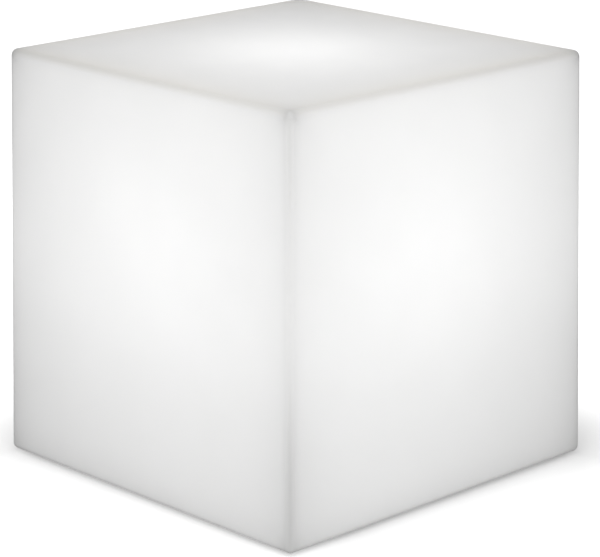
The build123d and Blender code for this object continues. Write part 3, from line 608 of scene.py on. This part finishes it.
class Surface(Nodes):
    """A node material under construction, on the principled shader."""

    def __init__(self, slot):
        self.material = bpy.data.materials.new(slot)
        self.material.use_nodes = True
        super().__init__(self.material.node_tree)
        self.shader = self.tree.nodes["Principled BSDF"]
        coordinates = self.add("ShaderNodeTexCoord").outputs
        self.place = coordinates["Object"]
        self.facing = coordinates["Normal"]

    def set(self, **values):
        """Feeds the shader's sockets; an underscore in a name stands for a space."""
        for name, value in values.items():
            self.feed(self.shader.inputs[name.replace("_", " ")], value)

    def stretched(self, scale):
        """Object place scaled by a different number along each axis."""
        return self.add("ShaderNodeMapping", {"Vector": self.place, "Scale": scale}).outputs["Vector"]

    def noise(self, size, detail=2.0, place=None):
        """Cloudy pattern whose blobs are about the given size."""
        sockets = {"Vector": place or self.place, "Scale": 1 / size, "Detail": detail}
        return self.add("ShaderNodeTexNoise", sockets).outputs["Fac"]

    def ramp(self, factor, low, high, start=0.3, end=0.7):
        """Colour between two colours, as a pattern goes from start to end."""
        made = self.add("ShaderNodeValToRGB", {"Fac": factor})
        for element, position, colour in zip(made.color_ramp.elements, (start, end), (low, high)):
            element.position = position
            element.color = (*colour, 1)
        return made.outputs["Color"]

    def tinted(self, colour, tint, factor):
        """A colour multiplied by a tint, as far as a zero-to-one factor says."""
        made = self.add("ShaderNodeMix", data_type="RGBA", blend_type="MULTIPLY")
        sockets = {socket.identifier: socket for socket in (*made.inputs, *made.outputs)}
        self.feed(sockets["Factor_Float"], factor)
        self.feed(sockets["A_Color"], colour)
        self.feed(sockets["B_Color"], tint)
        return sockets["Result_Color"]

    def relief(self, height, depth):
        """Bump of a real depth on the shader."""
        bump = self.add("ShaderNodeBump", {"Height": height, "Distance": depth, "Strength": 1.0})
        self.set(Normal=bump.outputs["Normal"])


def shade(colour, factor):
    """A colour made lighter or darker."""
    return tuple(min(1.0, part * factor) for part in colour)


def edge_distances(surface, x, y, z):
    """How far a point lies from an upright, a top and a floor edge, taken where two faces would meet."""
    half = surface.math("MULTIPLY_ADD", z, -tan(MOULD_DRAFT), half_at(0))
    across = surface.math("SUBTRACT", half, surface.math("ABSOLUTE", x))
    along = surface.math("SUBTRACT", half, surface.math("ABSOLUTE", y))
    inward = surface.math("MINIMUM", across, along)
    below_top = surface.math("SUBTRACT", shell_top, z)
    above_floor = surface.math("SUBTRACT", z, shell_base)

    def apart(first, second):
        both = surface.add("ShaderNodeCombineXYZ", {"X": first, "Y": second})
        return surface.length(both.outputs["Vector"])

    return apart(across, along), apart(inward, below_top), apart(inward, above_floor)


def edge_fade(surface, distance, reach):
    """One on an edge, falling away from it over the given reach."""
    return surface.math("EXPONENT", surface.math("MULTIPLY", distance, -1 / reach))


def light_kept(surface, distance, fades, depth=1.0):
    """Share of the light that is left near an edge, where the wall is thicker."""
    lost = 0.0
    for share, reach in fades:
        lost = surface.math("MULTIPLY_ADD", edge_fade(surface, distance, reach), share, lost)
    kept = surface.math("SUBTRACT", 1.0, surface.math("MULTIPLY", lost, depth))
    return surface.math("MAXIMUM", kept, 0.0)


def shell_glow(surface, z, facing, upright, top, floor):
    """Painted glow: the light that the wall lets through, most opposite the light unit, less in thick edges
    and corners.
    """

    def by_height(low, high, start, end):
        return surface.spread(z, low, high, start, end, course="SMOOTHSTEP")

    away = surface.length(surface.vector("SUBTRACT", surface.place, GLOW_CENTRE))
    nearness = surface.math("POWER", surface.math("DIVIDE", away, SPOT_DISTANCE), SPOT_POWER)
    spot = surface.math("MULTIPLY_ADD", nearness, SPOT_SHARE, EVEN_SHARE)
    clouds = surface.spread(surface.noise(CLOUD_SIZE), 1 - CLOUD_DEPTH, 1 + CLOUD_DEPTH)
    low_depth = by_height(UPRIGHT_DEPTH_AT_FLOOR, 1.0, 0.0, FULL_GLOW_HEIGHT)
    high_depth = by_height(1.0, UPRIGHT_DEPTH_AT_TOP, FULL_GLOW_HEIGHT, shell_top)
    upright_depth = surface.math("MULTIPLY", low_depth, high_depth)
    corner = surface.math("MAXIMUM", upright, surface.math("MINIMUM", top, floor))

    side = by_height(SIDE_GLOW_AT_FLOOR, SIDE_GLOW, 0.0, FULL_GLOW_HEIGHT)
    glow = surface.blend(facing, side, TOP_GLOW)
    for share in (
        surface.spread(facing, UNDERSIDE_SHARE, 1.0, start=-1.0, end=0.0),
        light_kept(surface, upright, UPRIGHT_EDGE_FADES, upright_depth),
        light_kept(surface, top, TOP_EDGE_FADES),
        light_kept(surface, floor, FLOOR_EDGE_FADES),
        light_kept(surface, corner, CORNER_FADES),
        spot,
        clouds,
    ):
        glow = surface.math("MULTIPLY", glow, share)
    return glow


def shell_material():
    """Translucent white polyethylene, with its light from inside painted on as glow."""
    surface = Surface("glowing_polyethylene")
    x, y, z = surface.add("ShaderNodeSeparateXYZ", {"Vector": surface.place}).outputs
    facing = surface.add("ShaderNodeSeparateXYZ", {"Vector": surface.facing}).outputs["Z"]
    upright, top, floor = edge_distances(surface, x, y, z)
    nearest = surface.math("MINIMUM", upright, surface.math("MINIMUM", top, floor))
    tone = surface.ramp(surface.noise(SHELL_TONE_SIZE, detail=3.0), *SHELL_TONES)
    # Painted shade: the base colour darkens towards every edge
    painted_edge_shade = edge_fade(surface, nearest, EDGE_SHADE_REACH)
    surface.set(Base_Color=surface.tinted(tone, PAINTED_EDGE_SHADE, painted_edge_shade))
    sheen = surface.noise(SHELL_SHEEN_SIZE, detail=3.0)
    surface.set(Roughness=surface.spread(sheen, *SHELL_ROUGHNESS), Specular_IOR_Level=SHELL_SPECULAR)
    surface.relief(surface.noise(PEEL_SIZE), PEEL_DEPTH)
    # Painted glow of the light unit inside, with painted shade towards edges, corners, floor and underside
    glow = shell_glow(surface, z, facing, upright, top, floor)
    # Painted glow turns warmer towards the top edges
    warmth = surface.math("MULTIPLY", edge_fade(surface, top, WARMTH_REACH), facing)
    surface.set(Emission_Color=surface.tinted(glow, TOP_EDGE_WARMTH, warmth), Emission_Strength=1.0)
    return surface.material


def moulded(slot, colour, roughness, grain=0.0006, depth=0.00003, contrast=0.06, unevenness=0.07):
    """Moulded plastic or rubber: slow cloudy tone, fine grain, uneven sheen."""
    surface = Surface(slot)
    tone = surface.noise(size=0.018, detail=4.0)
    surface.set(Base_Color=surface.ramp(tone, shade(colour, 1 - contrast), shade(colour, 1 + contrast)))
    fine = surface.noise(grain, detail=3.0)
    surface.set(Roughness=surface.spread(fine, roughness - unevenness, roughness + unevenness))
    surface.relief(fine, depth)
    return surface.material


def metal(
    slot, colour, roughness, lines, depth=0.000004, darkest=0.88, lightest=1.08, smoother=0.06, rougher=0.1
):
    """Bare metal with fine lines, of uneven tone and sheen."""
    surface = Surface(slot)
    pattern = surface.noise(size=1.0, detail=4.0, place=surface.stretched(lines))
    surface.set(Base_Color=surface.ramp(pattern, shade(colour, darkest), shade(colour, lightest)))
    surface.set(Roughness=surface.spread(pattern, roughness - smoother, roughness + rougher), Metallic=1.0)
    surface.relief(pattern, depth)
    return surface.material


def circuit_board(slot, mask, trace):
    """Solder mask with copper traces showing through it."""
    surface = Surface(slot)
    bricks = surface.add(
        "ShaderNodeTexBrick",
        {
            "Vector": surface.place, "Scale": 90.0, "Mortar Size": 0.06, "Mortar Smooth": 0.3,
            "Color1": BLACK, "Color2": BLACK, "Mortar": WHITE,
        },
    )
    lanes = surface.add(
        "ShaderNodeTexWave", {"Vector": surface.place, "Scale": 120.0, "Distortion": 6.0, "Detail": 0.0}
    )
    thickness = surface.spread(lanes.outputs["Fac"], low=0.2, high=1.0)
    copper = surface.math("MULTIPLY", bricks.outputs["Fac"], thickness)
    surface.set(Base_Color=surface.ramp(copper, mask, trace, start=0.1, end=0.6))
    surface.set(Roughness=surface.spread(surface.noise(size=0.004), low=0.28, high=0.42))
    surface.relief(copper, depth=0.00004)
    return surface.material


def foam_material():
    """Open-cell foam, with painted shade in the pits of its cells."""
    surface = Surface("foam")
    cells = surface.add("ShaderNodeTexVoronoi", {"Vector": surface.place, "Scale": 1 / FOAM_CELL_SIZE})
    wall = cells.outputs["Distance"]
    # Painted shade: the pits of the cells are darker
    colour = surface.ramp(wall, low=(0.05, 0.05, 0.055), high=(0.17, 0.17, 0.18), start=0.05, end=0.6)
    surface.set(Base_Color=colour, Roughness=surface.spread(wall, low=0.85, high=1.0))
    surface.relief(wall, FOAM_CELL_DEPTH)
    return surface.material


def glowing(slot, low, high, size, strength, roughness, unevenness=0.05):
    """A surface that gives light: opal plastic or LED phosphor."""
    surface = Surface(slot)
    cloud = surface.ramp(surface.noise(size), low, high)
    surface.set(Base_Color=cloud, Emission_Color=cloud, Emission_Strength=strength)
    sheen = surface.noise(size / 4)
    surface.set(Roughness=surface.spread(sheen, roughness - unevenness, roughness + unevenness))
    surface.relief(surface.noise(size / 8), depth=0.00001)
    return surface.material


def shrink_film():
    """Plain blue film on the cells, with faint wrinkles round them."""
    surface = Surface("cell_wrap")
    wrinkles = surface.noise(size=1.0, detail=3.0, place=surface.stretched(WRINKLES_ROUND_X))
    surface.set(Base_Color=surface.ramp(wrinkles, low=(0.075, 0.24, 0.45), high=(0.11, 0.31, 0.54)))
    surface.set(Roughness=surface.spread(wrinkles, low=0.18, high=0.32))
    surface.relief(wrinkles, depth=0.00006)
    return surface.material


def clear_plastic():
    """Polished clear rod."""
    surface = Surface("clear_polycarbonate")
    cloud = surface.noise(size=0.003)
    surface.set(Base_Color=surface.ramp(cloud, low=(0.90, 0.94, 0.95), high=(0.97, 0.98, 0.98)))
    surface.set(Roughness=surface.spread(cloud, low=0.03, high=0.12), Transmission_Weight=1.0, IOR=1.585)
    surface.relief(cloud, depth=0.00001)
    return surface.material


def make_materials():
    """One finish for each material slot of the record."""
    materials = {
        "shell_polyethylene": shell_material(),
        "foam": foam_material(),
        "cell_wrap": shrink_film(),
        "clear_polycarbonate": clear_plastic(),
    }
    for make, finishes in (
        (moulded, MOULDED_FINISHES),
        (metal, METAL_FINISHES),
        (circuit_board, BOARD_FINISHES),
        (glowing, GLOWING_FINISHES),
    ):
        for slot, finish in finishes.items():
            materials[slot] = make(slot, **finish)
    return materials


def dress(materials, made_pieces):
    """Gives each CAD node and each made piece the finish of its slot."""
    for subpart in frame["record"]["subparts"]:
        shape = frame["nodes"][subpart["node"]].data
        shape.materials.clear()
        shape.materials.append(materials[subpart["material_slot"]])
    for piece in made_pieces:
        piece.data.materials.clear()
        piece.data.materials.append(materials[piece["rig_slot"]])


def seen_directly(nodes):
    """One for rays that show a surface in the picture or in a reflection, and zero for light."""
    path = nodes.add("ShaderNodeLightPath").outputs
    mirrored = nodes.math("MAXIMUM", path["Is Glossy Ray"], path["Is Transmission Ray"])
    return nodes.math("MAXIMUM", path["Is Camera Ray"], mirrored)


def make_world():
    """White surroundings to look at, and a plain even light on the object."""
    world = bpy.data.worlds.new("studio")
    world.use_nodes = True
    nodes = Nodes(world.node_tree)
    background = nodes.tree.nodes["Background"]
    nodes.feed(background.inputs["Color"], WHITE)
    nodes.feed(background.inputs["Strength"], nodes.blend(seen_directly(nodes), AMBIENT, 1.0))
    bpy.context.scene.world = world


def outside_shadow(nodes):
    """How far a floor point lies outside the square of painted shadow, over the lamp's real shadow."""
    place = nodes.add("ShaderNodeTexCoord").outputs["Object"]
    from_centre = nodes.vector("ABSOLUTE", nodes.vector("SUBTRACT", place, SHADOW_CENTRE))
    from_edge = nodes.vector("SUBTRACT", from_centre, (SHADOW_HALF_SIDE, SHADOW_HALF_SIDE, SHADOW_HALF_SIDE))
    return nodes.length(nodes.vector("MAXIMUM", from_edge, (0, 0, 0)))


def floor_material():
    """White to look at but for the lamp's shadow, partly real and partly painted, and clear from below."""
    material = bpy.data.materials.new("floor")
    material.use_nodes = True
    nodes = Nodes(material.node_tree)
    nodes.tree.nodes.clear()
    seen = seen_directly(nodes)
    colour = nodes.blend(seen, FLOOR_COLOUR, FLOOR_CAMERA_COLOUR)
    matte = nodes.add("ShaderNodeBsdfDiffuse", {"Color": colour}).outputs["BSDF"]
    # Painted shadow: the floor's white glow fades out near the lamp
    white = nodes.spread(outside_shadow(nodes), SHADOW_GLOW, 1.0, SHADOW_FADE_START, SHADOW_FADE_END)
    strength = nodes.math("MULTIPLY", white, seen)
    glow = nodes.add("ShaderNodeEmission", {"Strength": strength}).outputs["Emission"]
    above = nodes.feed_in_order(nodes.add("ShaderNodeAddShader"), matte, glow)["Shader"]
    below = nodes.add("ShaderNodeBsdfTransparent").outputs["BSDF"]
    from_below = nodes.add("ShaderNodeNewGeometry").outputs["Backfacing"]
    both = nodes.feed_in_order(nodes.add("ShaderNodeMixShader"), from_below, above, below)["Shader"]
    nodes.add("ShaderNodeOutputMaterial", {"Surface": both})
    return material


def make_floor():
    """Pale round floor that looks white, keeps the lamp's real shadow with painted shadow round it, and can
    be looked through from below.
    """
    builder = bmesh.new()
    bmesh.ops.create_circle(builder, cap_ends=True, segments=FLOOR_STEPS, radius=FLOOR_RADIUS)
    floor = new_object("floor", builder)
    floor.data.materials.append(floor_material())


def away_from(azimuth, elevation):
    """Direction from the object towards a place round it; azimuth zero is in front, along -Y."""
    return Vector((sin(azimuth) * cos(elevation), -cos(azimuth) * cos(elevation), sin(elevation)))


def set_up(thing, place, direction):
    """Adds a light or camera at a place, looking back along its direction from the object."""
    thing.location = place
    thing.rotation_mode = "QUATERNION"
    thing.rotation_quaternion = (-direction).to_track_quat("-Z", "Y")
    bpy.context.scene.collection.objects.link(thing)


def make_light(name, direction, size, power):
    """A round soft light on one side of the lamp, turned towards it."""
    disk = bpy.data.lights.new(name, "AREA")
    disk.shape = "DISK"
    disk.size = size
    disk.energy = power
    light = bpy.data.objects.new(name, disk)
    set_up(light, CAMERA_TARGET + direction * LIGHT_DISTANCE, direction)


def make_camera():
    """Camera at the photograph's place."""
    lens = bpy.data.cameras.new("camera")
    lens.lens = CAMERA_LENS
    lens.sensor_width = CAMERA_SENSOR
    camera = bpy.data.objects.new("camera", lens)
    back = away_from(CAMERA_AZIMUTH, CAMERA_ELEVATION)
    right = Vector((cos(CAMERA_AZIMUTH), sin(CAMERA_AZIMUTH), 0))
    up = back.cross(right)
    set_up(camera, CAMERA_TARGET + back * CAMERA_DISTANCE + right * CAMERA_RIGHT + up * CAMERA_UP, back)
    bpy.context.scene.camera = camera


dress(make_materials(), [make_shell(), make_spring(), make_pads()])
make_world()
make_floor()
make_light("key", away_from(KEY_AZIMUTH, KEY_ELEVATION), KEY_SIZE, KEY_POWER)
make_light("fill", away_from(FILL_AZIMUTH, FILL_ELEVATION), FILL_SIZE, FILL_POWER)
make_camera()
bpy.context.scene.view_settings.view_transform = "Standard"
